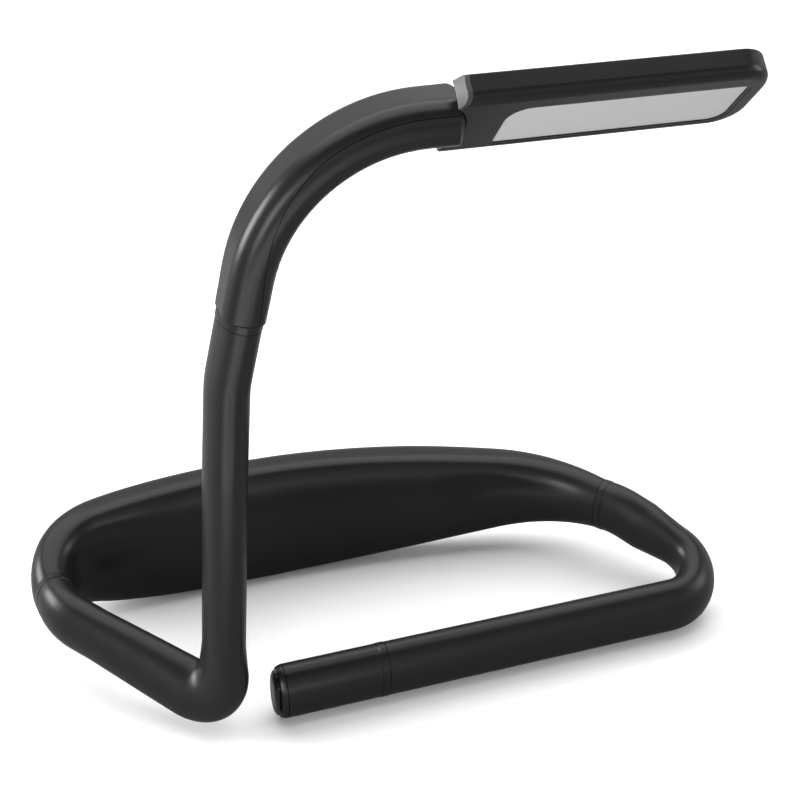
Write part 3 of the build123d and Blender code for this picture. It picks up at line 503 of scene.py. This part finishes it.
# Each material slot's colour and roughness first, then what differs from the usual finish
LOOKS = {
    "silicone_skin": dict(
        colour=(0.009, 0.009, 0.0095), roughness=0.34,
        spread=0.06, rough_spread=0.02, grain=1500.0, bump=0.02, Specular_IOR_Level=0.25,
    ),
    "satin_black_plastic": dict(
        colour=(0.009, 0.009, 0.0095), roughness=0.3,
        spread=0.05, rough_spread=0.015, grain=1800.0, bump=0.01, Specular_IOR_Level=0.25,
    ),
    # Partly painted light: this grey is a little lighter than the black plastics, which also
    # paints in the light that the collar's caps catch
    "grey_collar_plastic": dict(
        colour=(0.035, 0.035, 0.036), roughness=0.4, grain=1800.0, bump=0.06,
    ),
    "gloss_black_plastic": dict(
        colour=(0.007, 0.007, 0.0075), roughness=0.2,
        grain=900.0, bump=0.01, Specular_IOR_Level=0.3,
    ),
    "opal_diffuser": dict(
        colour=(0.62, 0.62, 0.62), roughness=0.5, spread=0.02, grain=2500.0, bump=0.05,
    ),
    "white_plastic": dict(colour=(0.75, 0.75, 0.74), roughness=0.4, spread=0.03, bump=0.05),
    "inner_black_plastic": dict(colour=(0.03, 0.03, 0.03), roughness=0.5, bump=0.1),
    "clear_lens": dict(colour=(0.5, 0.52, 0.5), roughness=0.15, spread=0.02, bump=0.02),
    "circuit_board": dict(colour=(0.02, 0.12, 0.05), roughness=0.4, spread=0.15, bump=0.1),
    "led_package": dict(colour=(0.85, 0.72, 0.3), roughness=0.35, bump=0.05),
    "battery_foil": dict(
        colour=(0.45, 0.46, 0.48), roughness=0.35, metal=0.8, grain=300.0, bump=0.2,
    ),
    "foam": dict(
        colour=(0.06, 0.06, 0.065), roughness=0.9, spread=0.3, grain=1500.0, bump=0.8,
    ),
    "steel_hardware": dict(colour=(0.5, 0.5, 0.51), roughness=0.3, metal=1.0, bump=0.08),
    "gooseneck_steel": dict(colour=(0.38, 0.38, 0.39), roughness=0.38, metal=1.0, bump=0.1),
    "cable_jacket": dict(colour=(0.35, 0.02, 0.02), roughness=0.5, bump=0.08),
    "bright_socket": dict(colour=(0.62, 0.62, 0.63), roughness=0.25, metal=1.0, bump=0.05),
}
FINISHES = {name: finish_of(name, **look) for name, look in LOOKS.items()}


def dress(obj, material):
    obj.data.materials.clear()
    obj.data.materials.append(material)


for part in frame["record"]["subparts"]:
    dress(frame["nodes"][part["node"]], FINISHES[part["material_slot"]])
for piece in (left_root, left_corner, left_top, right_corner, right_front, band):
    dress(piece, FINISHES["silicone_skin"])

# Floor
FLOOR_HALF = 6.0
FLOOR_DROP = 0.0005          # keeps the floor clear of the resting faces
FLOOR_SEEN = (0.96, 0.96, 0.96, 1)
FLOOR_DIM = (0.2, 0.2, 0.2, 1)
DIM_IN_REFLECTIONS = 0.8     # share of the dim colour there


def floor_make(bm):
    bmesh.ops.create_grid(bm, x_segments=1, y_segments=1, size=FLOOR_HALF)


def floor_finish():
    """White in the picture, dimmer in reflections, and it sends little light back up."""
    material = bpy.data.materials.new("floor_white")
    material.use_nodes = True
    tree = material.node_tree
    surface = tree.nodes["Principled BSDF"]
    surface.inputs["Roughness"].default_value = 0.9
    surface.inputs["Specular IOR Level"].default_value = 0.1
    path = tree.nodes.new("ShaderNodeLightPath")
    colour = tree.nodes.new("ShaderNodeMix")
    colour.data_type = "RGBA"
    colour.inputs[MIX_A].default_value = FLOOR_SEEN
    colour.inputs[MIX_B].default_value = FLOOR_DIM
    dim = tree.nodes.new("ShaderNodeMath")
    dim.operation = "MULTIPLY_ADD"
    dim.inputs[1].default_value = DIM_IN_REFLECTIONS
    tree.links.new(path.outputs["Is Glossy Ray"], dim.inputs[0])
    tree.links.new(path.outputs["Is Diffuse Ray"], dim.inputs[2])
    tree.links.new(dim.outputs[0], colour.inputs["Factor"])
    tree.links.new(colour.outputs[MIX_RESULT], surface.inputs["Base Color"])
    return material


floor = new_object("floor", floor_make)
floor.location.z = -FLOOR_DROP
dress(floor, floor_finish())


# Light
def lamp(name, place, target, size, power):
    """A rectangular lamp: places and sizes in metres, power in watts."""
    data = bpy.data.lights.new(name, "AREA")
    data.shape = "RECTANGLE"
    data.size, data.size_y = size
    data.energy = power
    obj = bpy.data.objects.new(name, data)
    obj.location = place
    way = Vector(target) - Vector(place)
    obj.rotation_euler = way.to_track_quat("-Z", "Y").to_euler()
    bpy.context.scene.collection.objects.link(obj)


middle = (0.035, -0.03, 0.06)
above_card = (-0.06, -0.2, 0.2)
lamp("overhead", (0.1, 0.45, 1.5), middle, (2.4, 1.8), 40)
lamp("left_back", (-1.2, 0.4, 0.45), middle, (0.6, 0.6), 20)
lamp("left_front", (-0.8, -1.1, 0.3), middle, (0.45, 0.45), 7)
lamp("right", (1.2, -0.35, 0.5), middle, (0.4, 0.7), 4)
lamp("front_card", (-0.08, -0.27, 0.002), above_card, (0.36, 0.22), 1.0)

WALL_LIGHT = 0.8             # strength of the surroundings, low down
OVERHEAD_LIGHT = 0.03
WALL_TOP = 0.3               # upward part of the direction where the walls start to darken
OVERHEAD_START = 0.8
BACKGROUND_WHITE = 1.0
WHITE = (1, 1, 1, 1)


def studio_world():
    """Light walls all round that darken overhead, and plain white where the camera looks."""
    world = bpy.data.worlds.new("studio")
    bpy.context.scene.world = world
    world.use_nodes = True
    tree = world.node_tree
    ambient = tree.nodes["Background"]
    ambient.inputs["Color"].default_value = WHITE
    place = tree.nodes.new("ShaderNodeTexCoord")
    axes = tree.nodes.new("ShaderNodeSeparateXYZ")
    tree.links.new(place.outputs["Generated"], axes.inputs["Vector"])
    fall = tree.nodes.new("ShaderNodeMapRange")
    fall.interpolation_type = "SMOOTHSTEP"
    fall.inputs["From Min"].default_value = WALL_TOP
    fall.inputs["From Max"].default_value = OVERHEAD_START
    fall.inputs["To Min"].default_value = WALL_LIGHT
    fall.inputs["To Max"].default_value = OVERHEAD_LIGHT
    tree.links.new(axes.outputs["Z"], fall.inputs["Value"])
    tree.links.new(fall.outputs["Result"], ambient.inputs["Strength"])
    backdrop = tree.nodes.new("ShaderNodeBackground")
    backdrop.inputs["Color"].default_value = WHITE
    backdrop.inputs["Strength"].default_value = BACKGROUND_WHITE
    path = tree.nodes.new("ShaderNodeLightPath")
    mix = tree.nodes.new("ShaderNodeMixShader")
    tree.links.new(path.outputs["Is Camera Ray"], mix.inputs["Fac"])
    tree.links.new(ambient.outputs["Background"], mix.inputs[1])
    tree.links.new(backdrop.outputs["Background"], mix.inputs[2])
    tree.links.new(mix.outputs["Shader"], tree.nodes["World Output"].inputs["Surface"])


studio_world()

# Camera, solved from the outline in the photograph
SENSOR_WIDTH = 36.0
LENS = 68.35
NEAR_CLIP = 0.01
CAMERA_PLACE = (-0.0664, -0.3776, 0.2840)
CAMERA_YAW = 16.4            # degrees to the right of +Y
CAMERA_PITCH = 30.0          # degrees below the horizontal

camera_data = bpy.data.cameras.new("camera")
camera_data.sensor_width = SENSOR_WIDTH
camera_data.lens = LENS
camera_data.clip_start = NEAR_CLIP
camera = bpy.data.objects.new("camera", camera_data)
camera.location = CAMERA_PLACE
yaw, pitch = radians(CAMERA_YAW), radians(CAMERA_PITCH)
sight = Vector((sin(yaw) * cos(pitch), cos(yaw) * cos(pitch), -sin(pitch)))
camera.rotation_euler = sight.to_track_quat("-Z", "Y").to_euler()
bpy.context.scene.collection.objects.link(camera)
bpy.context.scene.camera = camera
bpy.context.scene.view_settings.view_transform = "Standard"
